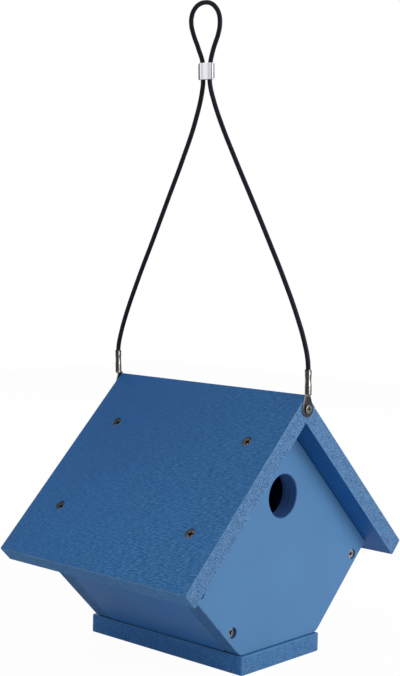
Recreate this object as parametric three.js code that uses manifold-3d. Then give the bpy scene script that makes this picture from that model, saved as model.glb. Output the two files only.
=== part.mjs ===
// A hanging wren roost box made of thick recycled-plastic boards.
// Two end walls are cut from a square standing on its corner, two roof boards lie on its
// upper sides, two side walls close its lower sides, and a floor board cuts off the corner.
// One side wall is the clean-out door and turns on two screws. The box hangs on a loop of
// coated cable that ends in two lugs, one screwed to each end of the ridge.
//
// Units are millimetres. +Z is up, the entrance looks along -Y and the ridge runs along Y.
// The origin is the middle of the underside, below the middle of the roof.

import * as THREE from 'three';
import { mergeVertices } from 'three/addons/utils/BufferGeometryUtils.js';
import Module from 'manifold-3d';

// Boards
const boardThickness = 12.7;
const edgeEase = 0.8;
const sawnEdgeEase = 0.5;
const easeSteps = 2;
const roundSteps = 4;
const fitGap = 0.3;
const cutOverrun = 2;

// House. The side walls' length is measured down the slope, from the roof to the floor
// board, the overhangs are how far the roof stands out past the walls, and the seam step is
// how far the left roof board's end stands above the right board's face.
const squareSide = 133.1;
const sideWallLength = 77.2;
const houseLength = 132.5;
const eaveOverhang = 11.7;
const eaveEdgeRadius = 1.1;
const ridgeSeamStep = 0.35;
const frontOverhang = 17.5;
const backOverhang = 20;
const endWallCornerRadius = 3;

// Floor board, which stands out past the end walls by its ledges
const floorSideLedge = 0.5;
const floorFrontLedge = 2;
const floorBackLedge = 4.4;
const floorCornerRadius = 1.5;
const drainHoleDiameter = 6;
const drainHoleSpacingX = 26;
const drainHoleSpacingY = 64;
const drainHoleSides = 16;

// Entrance, measured down from the inside of the ridge
const entranceDiameter = 28.6;
const entranceDrop = 50.1;
const entranceSides = 48;

// Clean-out door
const doorEndPlay = 0.6;
const doorSwingGap = 0.5;

// Countersunk wood screws
const woodScrew = {
  shankRadius: 1.75,
  headRadius: 3.35,
  headHeight: 2.3,
  rimHeight: 0.35,
  length: 30,
  tipLength: 6,
  recessSpan: 3.6,
  recessWidth: 0.9,
  recessDepth: 1.5,
  pan: false,
};

// Low pan-head screws that hold the lugs
const lugScrew = {
  shankRadius: 1.75,
  headRadius: 2.9,
  headHeight: 0.8,
  rimHeight: 0.35,
  length: 28,
  tipLength: 6,
  recessSpan: 2.6,
  recessWidth: 0.8,
  recessDepth: 0.6,
  pan: true,
};

const screwSides = 16;

// How deep each kind of screw's head lies below the face that it goes into
const roofFrontScrewSink = 0.9;
const roofBackScrewSink = 1.6;
const wallScrewSink = 2;
const pivotScrewSink = 0.9;
const floorScrewSink = 0.9;
const lugScrewSink = 0;

// Screw places: down the roof from the ridge and up it from the end wall's corner, along a
// side wall from the roof and from the floor board, and in from the floor board's sides. The
// front roof screws sit this far behind the middle of their wall.
const roofScrewFromRidge = 42;
const roofScrewFromCorner = 30.2;
const roofFrontScrewShift = 1;
const wallScrewFromRoof = 16;
const wallScrewFromFloor = 17.4;
const floorScrewFromSide = 15;

// The hanger's lean to the left of upright, as a share of its height. The heights in it are
// measured from the lug screws.
const hangerLeanShare = 0.042;

// Cable lugs. The back lug's barrel stands on the side of its plate, and the front lug's sits
// astride it, with its axis this far out from the plate's back.
const lugPlateThickness = 0.8;
const lugRingRadius = 5.25;
const lugNeckHalfWidth = 1.9;
const lugBarrelStart = 10.3;
const lugBarrelWall = 0.35;
const lugFrontBarrelOut = 0.8;
const lugBarrelLength = 15.3;
const lugLipLength = 0.6;
const lugLipReach = 0.2;
const lugBoreDepth = 4;
const lugNeckOverlap = 3;
const lugSides = 16;

// Hanger cable: its centre line in the hanger's own plane, as [y, height], from the front lug
// up through the ferrule, round the loop and down through the ferrule to the back lug
const cableDiameter = 3.2;
const cableSides = 8;
const cableSteps = 78;
const cableRoute = [
  [-86.1, 21.9], [-86.1, 26.5], [-85.7, 31.9], [-83.1, 42.8], [-78.1, 56.7],
  [-66.7, 81.9], [-53.6, 107.4], [-39.9, 133.2], [-25.7, 159.4], [-12.1, 186.0],
  [-6.5, 199.4], [-3.5, 209.0], [-3.0, 213.9], [-3.7, 224.1], [-6.6, 233.3],
  [-11.2, 243.5], [-12.4, 249.6], [-11.5, 255.6], [-8.5, 260.1], [-4.4, 262.9],
  [0.7, 263.9], [5.9, 263.1], [10.2, 260.3], [12.7, 256.0], [13.2, 250.9],
  [11.8, 245.2], [7.0, 234.3], [3.1, 224.1], [2.9, 213.9], [3.2, 209.0],
  [10.0, 186.8], [22.5, 160.3], [36.8, 133.2], [51.5, 105.3], [66.8, 76.7],
  [80.9, 47.4], [85.2, 35.8], [86.6, 31.0], [87.4, 26.2], [87.5, 21.9],
];

// Ferrule: an oval sleeve that holds both strands below the loop
const ferruleWidth = 13.2;
const ferruleDepth = 7;
const ferruleHeight = 10.9;
const ferruleEase = 0.3;
const ferruleCentreY = -0.2;
const ferruleCentreHeight = 218.8;
const ferruleStrandSpread = 6.7;
const ferruleSides = 28;

// Places that follow from the sizes. The roof and the walls stand at 45 degrees, and
// diagonal is the share of a sloping length that it covers across and in height.
const diagonal = Math.SQRT1_2;
const roofTurn = Math.PI / 4;
const wallTurn = Math.PI - roofTurn;
const slopeToFloor = squareSide + sideWallLength;
const innerRidgeZ = boardThickness + slopeToFloor * diagonal;
const outerRidgeZ = innerRidgeZ + boardThickness / diagonal;
const ridgeCentreZ = (innerRidgeZ + outerRidgeZ) / 2;
const roofSlopeLength = boardThickness + squareSide + eaveOverhang;
const roofEndY = (frontOverhang + houseLength + backOverhang) / 2;
const frontFaceY = frontOverhang - roofEndY;
const backFaceY = frontFaceY + houseLength;
const frontWallMiddleY = frontFaceY + boardThickness / 2;
const backWallMiddleY = backFaceY - boardThickness / 2;
const houseMiddleY = (frontFaceY + backFaceY) / 2;
const insideLength = houseLength - 2 * boardThickness;
const endWallFootHalfWidth = (squareSide - sideWallLength) * diagonal;
const floorWidth = 2 * (endWallFootHalfWidth + floorSideLedge);
const floorLength = floorFrontLedge + houseLength + floorBackLedge;
const floorMiddleY = frontFaceY - floorFrontLedge + floorLength / 2;
const sideWallMiddle = squareSide - boardThickness / 2;
const sideWallEnd = sideWallLength - fitGap;
const lugBackY = roofEndY + fitGap;
const lugBoreRadius = cableDiameter / 2 + fitGap;
const lugBarrelRadius = lugBoreRadius + lugBarrelWall;

// The door's upper end clears the roof, and its lower end clears the floor board's edge,
// as it turns about its screws.
const halfBoard = boardThickness / 2;
const doorTopReach = Math.sqrt((wallScrewFromRoof - doorSwingGap) ** 2 - halfBoard ** 2);
const doorTop = wallScrewFromRoof - doorTopReach;
const floorEdgeOut = (slopeToFloor + floorWidth * diagonal) / 2 - sideWallMiddle;
const floorEdgeDown = (slopeToFloor - floorWidth * diagonal) / 2 - wallScrewFromRoof;
const floorEdgeReach = Math.hypot(floorEdgeOut, floorEdgeDown) - doorSwingGap;
const doorEndReach = Math.sqrt(floorEdgeReach ** 2 - halfBoard ** 2);
const doorEnd = Math.min(wallScrewFromRoof + doorEndReach, sideWallEnd);

const makeMaterial = (color, roughness, metalness) => (
  new THREE.MeshStandardMaterial({ color, roughness, metalness })
);
const boardBlue = makeMaterial(0x4a7db3, 0.62, 0);
const roofBlue = makeMaterial(0x30659c, 0.6, 0);
const screwSteel = makeMaterial(0x8d8478, 0.35, 1);
const lugNickel = makeMaterial(0x6b665f, 0.3, 1);
const ferruleAluminium = makeMaterial(0xd8d8dc, 0.3, 1);
const cableBlack = makeMaterial(0x15161c, 0.45, 0);

const wasm = await Module();
wasm.setup();

// Solids and meshes

function toSolid(geometry) {
  const bare = geometry.clone();
  bare.deleteAttribute('normal');
  bare.deleteAttribute('uv');
  const merged = mergeVertices(bare);
  const vertProperties = new Float32Array(merged.attributes.position.array);
  const triVerts = new Uint32Array(merged.index.array);
  return new wasm.Manifold(new wasm.Mesh({ numProp: 3, vertProperties, triVerts }));
}

function toGeometry(solid) {
  const mesh = solid.getMesh();
  const geometry = new THREE.BufferGeometry();
  geometry.setAttribute('position', new THREE.BufferAttribute(mesh.vertProperties, 3));
  geometry.setIndex(new THREE.BufferAttribute(mesh.triVerts, 1));
  geometry.computeVertexNormals();
  return geometry;
}

function cutAll(geometry, cutters) {
  let solid = toSolid(geometry);
  for (const cutter of cutters) {
    solid = solid.subtract(toSolid(cutter));
  }
  return toGeometry(solid);
}

// An extrusion along Z from 0 to height whose end edges are eased
function easedExtrusion(shape, height, ease, curveSegments) {
  const geometry = new THREE.ExtrudeGeometry(shape, {
    depth: height - 2 * ease,
    bevelEnabled: true,
    bevelThickness: ease,
    bevelSize: ease,
    bevelOffset: -ease,
    bevelSegments: easeSteps,
    curveSegments,
  });
  geometry.translate(0, 0, ease);
  return geometry;
}

// A closed outline with its corners rounded, each by the next of the radii in turn
function roundedOutline(corners, radii) {
  const shape = new THREE.Shape();
  corners.forEach((corner, i) => {
    const radius = radii[i % radii.length];
    const before = corners[(i + corners.length - 1) % corners.length];
    const after = corners[(i + 1) % corners.length];
    const start = before.clone().sub(corner).setLength(radius).add(corner);
    const end = after.clone().sub(corner).setLength(radius).add(corner);
    if (i === 0) {
      shape.moveTo(start.x, start.y);
    } else {
      shape.lineTo(start.x, start.y);
    }
    shape.quadraticCurveTo(corner.x, corner.y, end.x, end.y);
  });
  shape.closePath();
  return shape;
}

function rectangle(lowX, highX, lowY, highY) {
  return [
    new THREE.Vector2(lowX, lowY),
    new THREE.Vector2(highX, lowY),
    new THREE.Vector2(highX, highY),
    new THREE.Vector2(lowX, highY),
  ];
}

function roundPath(radius, sides, centre = new THREE.Vector2()) {
  const points = Array.from({ length: sides }, (_, i) => {
    const angle = (2 * Math.PI * i) / sides;
    return new THREE.Vector2(radius * Math.cos(angle), radius * Math.sin(angle)).add(centre);
  });
  return new THREE.Path(points);
}

// A profile turned about Z; its points run from the axis, up the outside, to the axis
function turned(points, sides) {
  const geometry = new THREE.LatheGeometry(points.map(([r, z]) => new THREE.Vector2(r, z)), sides);
  geometry.rotateX(Math.PI / 2);
  return geometry;
}

// Screws. In its own frame a screw lies along Z, with the outside of its head towards +Z.

// A countersunk screw's profile, or its hole's with a clearance and a rise above the face
function countersunkProfile(screw, clearance, rise) {
  return [
    [0, -screw.length - clearance],
    [screw.shankRadius + clearance, screw.tipLength - screw.length],
    [screw.shankRadius + clearance, -screw.headHeight],
    [screw.headRadius + clearance, -screw.rimHeight],
    [screw.headRadius + clearance, rise],
    [0, rise],
  ];
}

function panHeadProfile(screw) {
  return [
    [0, -screw.length],
    [screw.shankRadius, screw.tipLength - screw.length],
    [screw.shankRadius, 0],
    [screw.headRadius, 0],
    [screw.headRadius, screw.rimHeight],
    [screw.headRadius * diagonal, screw.headHeight],
    [0, screw.headHeight],
  ];
}

function screwGeometry(screw) {
  const profile = screw.pan ? panHeadProfile(screw) : countersunkProfile(screw, 0, 0);
  const body = turned(profile, screwSides);
  const top = screw.pan ? screw.headHeight : 0;
  const slot = new THREE.BoxGeometry(screw.recessSpan, screw.recessWidth, 2 * screw.recessDepth);
  slot.translate(0, 0, top);
  const crossSlot = slot.clone().rotateZ(Math.PI / 2);
  return cutAll(body, [slot, crossSlot]);
}

// The hole for a countersunk screw is its own shape with a clearance, open at the face. For
// a pan-head screw it is the shank's bore alone.
function screwHoleGeometry(screw, sink) {
  if (!screw.pan) {
    return turned(countersunkProfile(screw, fitGap, sink + cutOverrun), screwSides);
  }
  return turned([
    [0, -screw.length - fitGap],
    [screw.shankRadius + fitGap, screw.tipLength - screw.length],
    [screw.shankRadius + fitGap, cutOverrun],
    [0, cutOverrun],
  ], screwSides);
}

// A screw's frame: its head at a point on a face, and +Z along the face's outward direction
function screwPlacement(point, outward, sink) {
  const turn = new THREE.Quaternion().setFromUnitVectors(new THREE.Vector3(0, 0, 1), outward);
  const place = point.clone().addScaledVector(outward, -sink);
  return new THREE.Matrix4().compose(place, turn, new THREE.Vector3(1, 1, 1));
}

const ends = [
  {
    name: 'front',
    wall: 'front_wall',
    way: -1,
    faceY: frontFaceY,
    middleY: frontWallMiddleY,
    roofScrewSink: roofFrontScrewSink,
    roofScrewY: frontWallMiddleY + roofFrontScrewShift,
    barrelOut: lugFrontBarrelOut,
  },
  {
    name: 'back',
    wall: 'back_wall',
    way: 1,
    faceY: backFaceY,
    middleY: backWallMiddleY,
    roofScrewSink: roofBackScrewSink,
    roofScrewY: backWallMiddleY,
    barrelOut: lugBarrelRadius,
  },
];
const sides = [
  { name: 'left', way: -1 },
  { name: 'right', way: 1 },
];

// A point on an end wall, given across from the ridge's line of slope: down is measured
// along the side wall from the roof, and out is measured along the roof from the ridge.
function wallPoint(way, out, down, y) {
  return new THREE.Vector3(way * (out - down) * diagonal, y, innerRidgeZ - (out + down) * diagonal);
}

function roofScrews() {
  const lower = boardThickness + squareSide - roofScrewFromCorner;
  const levels = [['upper', roofScrewFromRidge], ['lower', lower]];
  return sides.flatMap((side) => ends.flatMap((end) => levels.map(([level, distance]) => {
    const point = new THREE.Vector3(
      side.way * distance * diagonal,
      end.roofScrewY,
      outerRidgeZ - distance * diagonal,
    );
    return {
      name: `roof_screw_${side.name}_${end.name}_${level}`,
      screw: woodScrew,
      sink: end.roofScrewSink,
      point,
      outward: new THREE.Vector3(side.way, 0, 1).normalize(),
      crosses: [`roof_board_${side.name}`, end.wall],
    };
  })));
}

function wallScrews() {
  const levels = [['upper', wallScrewFromRoof], ['lower', sideWallLength - wallScrewFromFloor]];
  return ends.flatMap((end) => levels.map(([level, down]) => ({
    name: `wall_screw_${end.name}_${level}`,
    screw: woodScrew,
    sink: wallScrewSink,
    point: wallPoint(-1, sideWallMiddle, down, end.faceY),
    outward: new THREE.Vector3(0, end.way, 0),
    crosses: [end.wall, 'side_wall_left'],
  })));
}

function doorScrews() {
  return ends.map((end) => ({
    name: `door_pivot_screw_${end.name}`,
    screw: woodScrew,
    sink: pivotScrewSink,
    point: wallPoint(1, sideWallMiddle, wallScrewFromRoof, end.faceY),
    outward: new THREE.Vector3(0, end.way, 0),
    crosses: [end.wall, 'clean_out_door'],
  }));
}

function floorScrews() {
  const apart = floorWidth / 2 - floorScrewFromSide;
  return ends.flatMap((end) => sides.map((side) => ({
    name: `floor_screw_${end.name}_${side.name}`,
    screw: woodScrew,
    sink: floorScrewSink,
    point: new THREE.Vector3(side.way * apart, end.middleY, 0),
    outward: new THREE.Vector3(0, 0, -1),
    crosses: ['floor_board', end.wall],
  })));
}

function lugScrews() {
  return ends.map((end) => ({
    name: `lug_screw_${end.name}`,
    screw: lugScrew,
    sink: lugScrewSink,
    point: new THREE.Vector3(0, end.way * (lugBackY + lugPlateThickness + fitGap), ridgeCentreZ),
    outward: new THREE.Vector3(0, end.way, 0),
    crosses: ['roof_board_left'],
  }));
}

const screws = [
  ...roofScrews(),
  ...wallScrews(),
  ...doorScrews(),
  ...floorScrews(),
  ...lugScrews(),
].map((entry) => ({
  ...entry,
  placement: screwPlacement(entry.point, entry.outward, entry.sink),
}));

function addPiece(parent, name, geometry, material, placement = new THREE.Matrix4()) {
  const mesh = new THREE.Mesh(geometry, material);
  mesh.name = name;
  placement.decompose(mesh.position, mesh.quaternion, mesh.scale);
  parent.add(mesh);
  return mesh;
}

// A board is shaped in its own frame, drilled for every screw that crosses it, and placed.
function addBoard(parent, name, geometry, material, placement = new THREE.Matrix4()) {
  const toBoard = placement.clone().invert();
  const holes = screws
    .filter((entry) => entry.crosses.includes(name))
    .map((entry) => {
      const toPlace = new THREE.Matrix4().multiplyMatrices(toBoard, entry.placement);
      return screwHoleGeometry(entry.screw, entry.sink).applyMatrix4(toPlace);
    });
  return addPiece(parent, name, cutAll(geometry, holes), material, placement);
}

// A frame at the given height on the ridge's line, turned about Y
function sloped(angle, height) {
  const placement = new THREE.Matrix4().makeRotationY(angle);
  return placement.setPosition(0, 0, height);
}

// The left board runs up to the ridge, and the right board butts against its underside.
// A board's outline, seen from the front, is rounded more at the eave's upper edge.
function addRoofBoards(parent) {
  const radii = [edgeEase, edgeEase, eaveEdgeRadius, edgeEase];
  for (const side of sides) {
    const start = side.name === 'left' ? -ridgeSeamStep : boardThickness + fitGap;
    const corners = rectangle(start, roofSlopeLength, -boardThickness, 0);
    corners.forEach((corner) => corner.setX(side.way * corner.x));
    const outline = roundedOutline(corners, radii);
    const geometry = easedExtrusion(outline, 2 * roofEndY, sawnEdgeEase, roundSteps);
    geometry.rotateX(Math.PI / 2);
    geometry.translate(0, roofEndY, 0);
    const placement = sloped(side.way * roofTurn, outerRidgeZ);
    addBoard(parent, `roof_board_${side.name}`, geometry, roofBlue, placement);
  }
}

// An end wall: the square on its corner, a gap below the roof, cut off level at the floor
function endWallOutline() {
  const sideX = (squareSide - fitGap) * diagonal;
  const sideZ = innerRidgeZ - (squareSide + fitGap) * diagonal;
  const corners = [
    new THREE.Vector2(0, innerRidgeZ - fitGap / diagonal),
    new THREE.Vector2(-sideX, sideZ),
    new THREE.Vector2(-endWallFootHalfWidth, boardThickness),
    new THREE.Vector2(endWallFootHalfWidth, boardThickness),
    new THREE.Vector2(sideX, sideZ),
  ];
  const outline = new THREE.Shape();
  outline.moveTo(corners[0].x, corners[0].y);
  outline.lineTo(corners[1].x, corners[1].y);
  for (const [i, next] of [[2, 3], [3, 4]]) {
    const corner = corners[i];
    const start = corners[i - 1].clone().sub(corner).setLength(endWallCornerRadius).add(corner);
    const end = corners[next].clone().sub(corner).setLength(endWallCornerRadius).add(corner);
    outline.lineTo(start.x, start.y);
    outline.quadraticCurveTo(corner.x, corner.y, end.x, end.y);
  }
  outline.lineTo(corners[4].x, corners[4].y);
  outline.closePath();
  return outline;
}

function addEndWalls(parent) {
  for (const end of ends) {
    const outline = endWallOutline();
    if (end.name === 'front') {
      const centre = new THREE.Vector2(0, innerRidgeZ - entranceDrop);
      outline.holes.push(roundPath(entranceDiameter / 2, entranceSides, centre));
    }
    const geometry = easedExtrusion(outline, boardThickness, edgeEase, easeSteps);
    geometry.rotateX(Math.PI / 2);
    geometry.translate(0, boardThickness / 2, 0);
    const placement = new THREE.Matrix4().makeTranslation(0, end.middleY, 0);
    addBoard(parent, end.wall, geometry, boardBlue, placement);
  }
}

// A side wall lies between the end walls and square to the roof, and reaches from top to
// bottom, both measured from the roof's underside.
function addSideWall(parent, name, way, top, bottom, endPlay) {
  const [low, high] = [way * top, way * bottom].sort((a, b) => a - b);
  const halfLength = insideLength / 2 - endPlay;
  const outline = roundedOutline(rectangle(low, high, -halfLength, halfLength), [edgeEase]);
  const geometry = easedExtrusion(outline, boardThickness, edgeEase, 1);
  geometry.translate(0, 0, squareSide - boardThickness);
  const shift = new THREE.Matrix4().makeTranslation(0, houseMiddleY, 0);
  const placement = sloped(way * wallTurn, innerRidgeZ).multiply(shift);
  addBoard(parent, name, geometry, boardBlue, placement);
}

function addFloorBoard(parent) {
  const corners = rectangle(-floorWidth / 2, floorWidth / 2, -floorLength / 2, floorLength / 2);
  const outline = roundedOutline(corners, [floorCornerRadius]);
  for (const x of [-drainHoleSpacingX / 2, drainHoleSpacingX / 2]) {
    for (const y of [-drainHoleSpacingY / 2, drainHoleSpacingY / 2]) {
      outline.holes.push(roundPath(drainHoleDiameter / 2, drainHoleSides, new THREE.Vector2(x, y)));
    }
  }
  const geometry = easedExtrusion(outline, boardThickness, edgeEase, easeSteps);
  const placement = new THREE.Matrix4().makeTranslation(0, floorMiddleY, 0);
  addBoard(parent, 'floor_board', geometry, boardBlue, placement);
}

// A lug in its own frame: the screw's axis is Y, its back lies at y = 0 and the barrel
// stands up along Z.

function lugPlate() {
  const reach = Math.hypot(lugNeckHalfWidth, lugBarrelStart);
  const touch = Math.atan2(lugBarrelStart, lugNeckHalfWidth) - Math.acos(lugRingRadius / reach);
  const shape = new THREE.Shape();
  shape.moveTo(-lugNeckHalfWidth, lugBarrelStart);
  shape.absarc(0, 0, lugRingRadius, Math.PI - touch, 2 * Math.PI + touch, false);
  shape.lineTo(lugNeckHalfWidth, lugBarrelStart);
  shape.closePath();
  shape.holes.push(roundPath(lugScrew.shankRadius + fitGap, lugSides));
  const geometry = new THREE.ExtrudeGeometry(shape, {
    depth: lugPlateThickness,
    bevelEnabled: false,
    curveSegments: lugSides,
  });
  geometry.rotateX(Math.PI / 2);
  return geometry;
}

function lugBarrel(out) {
  const barrel = turned([
    [0, 0],
    [lugBarrelRadius, 0],
    [lugBarrelRadius, lugBarrelLength - lugLipLength],
    [lugBarrelRadius + lugLipReach, lugBarrelLength],
    [lugBoreRadius, lugBarrelLength],
    [lugBoreRadius, lugBarrelLength - lugBoreDepth],
    [0, lugBarrelLength - lugBoreDepth],
  ], lugSides);
  barrel.translate(0, -out, lugBarrelStart);
  return barrel;
}

// The neck is the pinched metal between the flat plate and the round barrel. Its back stays
// flat up to past the ridge.
function lugNeck(out) {
  const reach = lugBarrelRadius * diagonal;
  const top = lugBarrelStart + lugNeckOverlap / 2;
  const shape = new THREE.Shape([
    new THREE.Vector2(0, lugBarrelStart - lugNeckOverlap),
    new THREE.Vector2(lugPlateThickness, lugBarrelStart - lugNeckOverlap),
    new THREE.Vector2(out + reach, top),
    new THREE.Vector2(out - reach, top),
    new THREE.Vector2(0, lugBarrelStart - lugNeckOverlap / 3),
  ]);
  const width = 2 * lugNeckHalfWidth * diagonal;
  const neck = new THREE.ExtrudeGeometry(shape, { depth: width, bevelEnabled: false });
  neck.rotateX(Math.PI / 2);
  neck.rotateZ(-Math.PI / 2);
  neck.translate(width / 2, 0, 0);
  return neck;
}

function lugGeometry(out) {
  const parts = [lugPlate(), lugBarrel(out), lugNeck(out)].map(toSolid);
  return toGeometry(parts.reduce((whole, part) => whole.add(part)));
}

// The hanger's own frame has its origin between the lug screws, and leans about their line.
function addHanger(parent) {
  const lean = new THREE.Matrix4().makeRotationY(-Math.atan(hangerLeanShare));
  lean.setPosition(0, 0, ridgeCentreZ);
  for (const end of ends) {
    const place = new THREE.Matrix4().makeRotationZ(end.name === 'front' ? 0 : Math.PI);
    place.setPosition(0, end.way * lugBackY, 0).premultiply(lean);
    addPiece(parent, `cable_lug_${end.name}`, lugGeometry(end.barrelOut), lugNickel, place);
  }
  addPiece(parent, 'hanger_cable', cableGeometry(), cableBlack, lean);
  const ferrulePlace = new THREE.Matrix4().makeTranslation(0, ferruleCentreY, ferruleCentreHeight);
  ferrulePlace.premultiply(lean);
  addPiece(parent, 'cable_ferrule', ferruleGeometry(), ferruleAluminium, ferrulePlace);
}

function cableGeometry() {
  const points = cableRoute.map(([y, height]) => new THREE.Vector3(0, y, height));
  const section = new THREE.Shape(roundPath(cableDiameter / 2, cableSides).getPoints());
  return new THREE.ExtrudeGeometry(section, {
    steps: cableSteps,
    extrudePath: new THREE.CatmullRomCurve3(points, false, 'centripetal'),
  });
}

function ferruleGeometry() {
  const outer = Array.from({ length: ferruleSides }, (_, i) => {
    const angle = (2 * Math.PI * i) / ferruleSides;
    return new THREE.Vector2(
      (ferruleDepth / 2) * Math.cos(angle),
      (ferruleWidth / 2) * Math.sin(angle),
    );
  });
  const shape = new THREE.Shape(outer);
  const passageRadius = cableDiameter / 2 + fitGap;
  const passage = new THREE.Path();
  passage.absarc(0, ferruleStrandSpread / 2, passageRadius, 0, Math.PI, false);
  passage.absarc(0, -ferruleStrandSpread / 2, passageRadius, Math.PI, 2 * Math.PI, false);
  passage.closePath();
  shape.holes.push(passage);
  const geometry = easedExtrusion(shape, ferruleHeight, ferruleEase, screwSides / 2);
  geometry.translate(0, 0, -ferruleHeight / 2);
  return geometry;
}

function addScrews(parent) {
  for (const kind of [woodScrew, lugScrew]) {
    const geometry = screwGeometry(kind);
    for (const entry of screws.filter(({ screw }) => screw === kind)) {
      addPiece(parent, entry.name, geometry, screwSteel, entry.placement);
    }
  }
}

const group = new THREE.Group();
const house = new THREE.Group();
const hanger = new THREE.Group();
group.add(house, hanger);
addRoofBoards(house);
addEndWalls(house);
addSideWall(house, 'side_wall_left', -1, fitGap, sideWallEnd, fitGap);
addSideWall(house, 'clean_out_door', 1, doorTop, doorEnd, doorEndPlay);
addFloorBoard(house);
addScrews(house);
addHanger(hanger);

export default group;
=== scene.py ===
"""A hanging wren roost box of blue recycled-plastic boards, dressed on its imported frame.

Sizes are written in millimetres and multiplied by MM where a length is used. The entrance
looks along -Y, the ridge runs along Y and +Z is up.
"""

import math

import bmesh
import bpy
from mathutils import Matrix, Vector


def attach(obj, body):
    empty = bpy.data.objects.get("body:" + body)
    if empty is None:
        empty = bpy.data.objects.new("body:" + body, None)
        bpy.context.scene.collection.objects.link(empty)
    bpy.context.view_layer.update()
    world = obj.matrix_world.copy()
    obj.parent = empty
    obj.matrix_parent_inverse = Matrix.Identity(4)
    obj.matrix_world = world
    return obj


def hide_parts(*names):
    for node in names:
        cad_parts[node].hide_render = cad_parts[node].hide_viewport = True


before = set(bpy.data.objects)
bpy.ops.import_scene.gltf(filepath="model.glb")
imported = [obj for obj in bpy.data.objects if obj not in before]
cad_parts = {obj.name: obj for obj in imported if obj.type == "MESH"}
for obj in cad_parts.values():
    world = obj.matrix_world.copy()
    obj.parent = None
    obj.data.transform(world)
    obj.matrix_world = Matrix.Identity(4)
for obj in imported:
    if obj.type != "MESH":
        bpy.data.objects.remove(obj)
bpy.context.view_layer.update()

MM = 0.001
DIAGONAL = math.sqrt(0.5)
SLOPE = math.pi / 4

# Camera, fitted to the photograph
EYE = (-702.46, -628.75, 282.31)
AZIMUTH = math.radians(-47.769)
ELEVATION = math.radians(4.371)
ROLL = math.radians(1.215)
LENS = 73.94
SENSOR = 36
CLIP_START = 10

# Hanger: its origin lies between the lug screws, and it leans to the left of upright by a
# share of its height. The cable's centre line is given in its plane, as [y, height].
RIDGE_CENTRE = 170.385
ROOF_HALF_LENGTH = 85
LUG_GAP = 0.3
HANGER_LEAN_SHARE = 0.042
CABLE_DIAMETER = 3.2
CABLE_SECTION_STEPS = 5
CABLE_ROUTE_STEPS = 10
CABLE_ROUTE = [
    (-86.1, 21.9), (-86.1, 26.5), (-85.7, 31.9), (-83.1, 42.8), (-78.1, 56.7),
    (-66.7, 81.9), (-53.6, 107.4), (-39.9, 133.2), (-25.7, 159.4), (-12.1, 186.0),
    (-6.5, 199.4), (-3.5, 209.0), (-3.0, 213.9), (-3.7, 224.1), (-6.6, 233.3),
    (-11.2, 243.5), (-12.4, 249.6), (-11.5, 255.6), (-8.5, 260.1), (-4.4, 262.9),
    (0.7, 263.9), (5.9, 263.1), (10.2, 260.3), (12.7, 256.0), (13.2, 250.9),
    (11.8, 245.2), (7.0, 234.3), (3.1, 224.1), (2.9, 213.9), (3.2, 209.0),
    (10.0, 186.8), (22.5, 160.3), (36.8, 133.2), (51.5, 105.3), (66.8, 76.7),
    (80.9, 47.4), (85.2, 35.8), (86.6, 31.0), (87.4, 26.2), (87.5, 21.9),
]
HANGER_PLACE = (
    Matrix.Translation((0, 0, RIDGE_CENTRE * MM))
    @ Matrix.Rotation(-math.atan(HANGER_LEAN_SHARE), 4, "Y")
)

# Ferrule. The press left two upright bands on each broad side. Painted shade darkens the
# pressed bands, a line near each edge, each edge's tip and the end towards the back.
FERRULE_WIDTH = 13.2
FERRULE_DEPTH = 7
FERRULE_HEIGHT = 10.9
FERRULE_CENTRE = (0, -0.2, 218.8)
FERRULE_EDGE = 0.45
FERRULE_PASSAGE_RADIUS = 1.9
FERRULE_STRAND_SPREAD = 6.7
FERRULE_PRESS_DEPTH = 0.2
FERRULE_PRESS_WIDTH = 1.8
FERRULE_PRESS_PLACES = (0.9, -4.4)
# Where and how wide the painted shade lines near the edges are, and how far the painted shade at the
# back end and on the tips reaches
FERRULE_SHADE_LINE_PLACE = 0.8
FERRULE_SHADE_LINE_WIDTH = 0.3
FERRULE_BACK_SHADE_WIDTH = 3.6
FERRULE_TIP_SHADE = 0.25
FERRULE_SIDES = 96
FERRULE_RINGS = 14

# Countersunk wood screws and pan-head lug screws, outwards along +Z from the head's face
WOOD_HEAD_RADIUS = 3.35
WOOD_HEAD_HEIGHT = 2.3
WOOD_RIM_HEIGHT = 0.35
WOOD_LENGTH = 30
LUG_HEAD_RADIUS = 2.9
LUG_HEAD_HEIGHT = 0.8
LUG_SCREW_LENGTH = 28
SHANK_RADIUS = 1.75
SHANK_PLAIN_LENGTH = 8
THREAD_ROOT_RADIUS = 1.3
THREAD_CREST_RADIUS = 1.95
THREAD_PITCH = 1.6
THREAD_RIDGE_SHARE = 0.5
TIP_LENGTH = 6
WOOD_RECESS = {"span": 4.2, "width": 1.2, "depth": 1.7, "wall": 0.28}
LUG_RECESS = {"span": 4.6, "width": 1.2, "depth": 0.6, "wall": 0.35}
HEAD_ROUNDING = 0.18
HEAD_SIDES = 64
HEAD_RINGS = 26
SHANK_SIDES = 16
RINGS_PER_PITCH = 5

# A recess gets shallower by a share of its depth towards the ends of its slots. A lug screw's
# head has a slight crown over a share of its radius, and then falls by a share of its height
# in a curve that is this much of a quarter circle.
RECESS_RISE = 0.45
LUG_DOME_FLAT = 0.62
LUG_DOME_CROWN = 0.08
LUG_DOME_FALL = 0.62
LUG_DOME_ROUNDNESS = 0.98

# How far each screw was turned when it was driven home, in degrees. One that isn't listed is
# turned by a step for each screw whose name comes before its own.
SCREW_TURNS = {
    "wall_screw_front_lower": 20,
    "door_pivot_screw_front": 5,
    "roof_screw_left_front_upper": 75,
    "roof_screw_left_front_lower": 20,
    "roof_screw_left_back_upper": 40,
    "roof_screw_left_back_lower": 60,
    "lug_screw_front": 3,
}
TURN_STEP = 37

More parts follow.
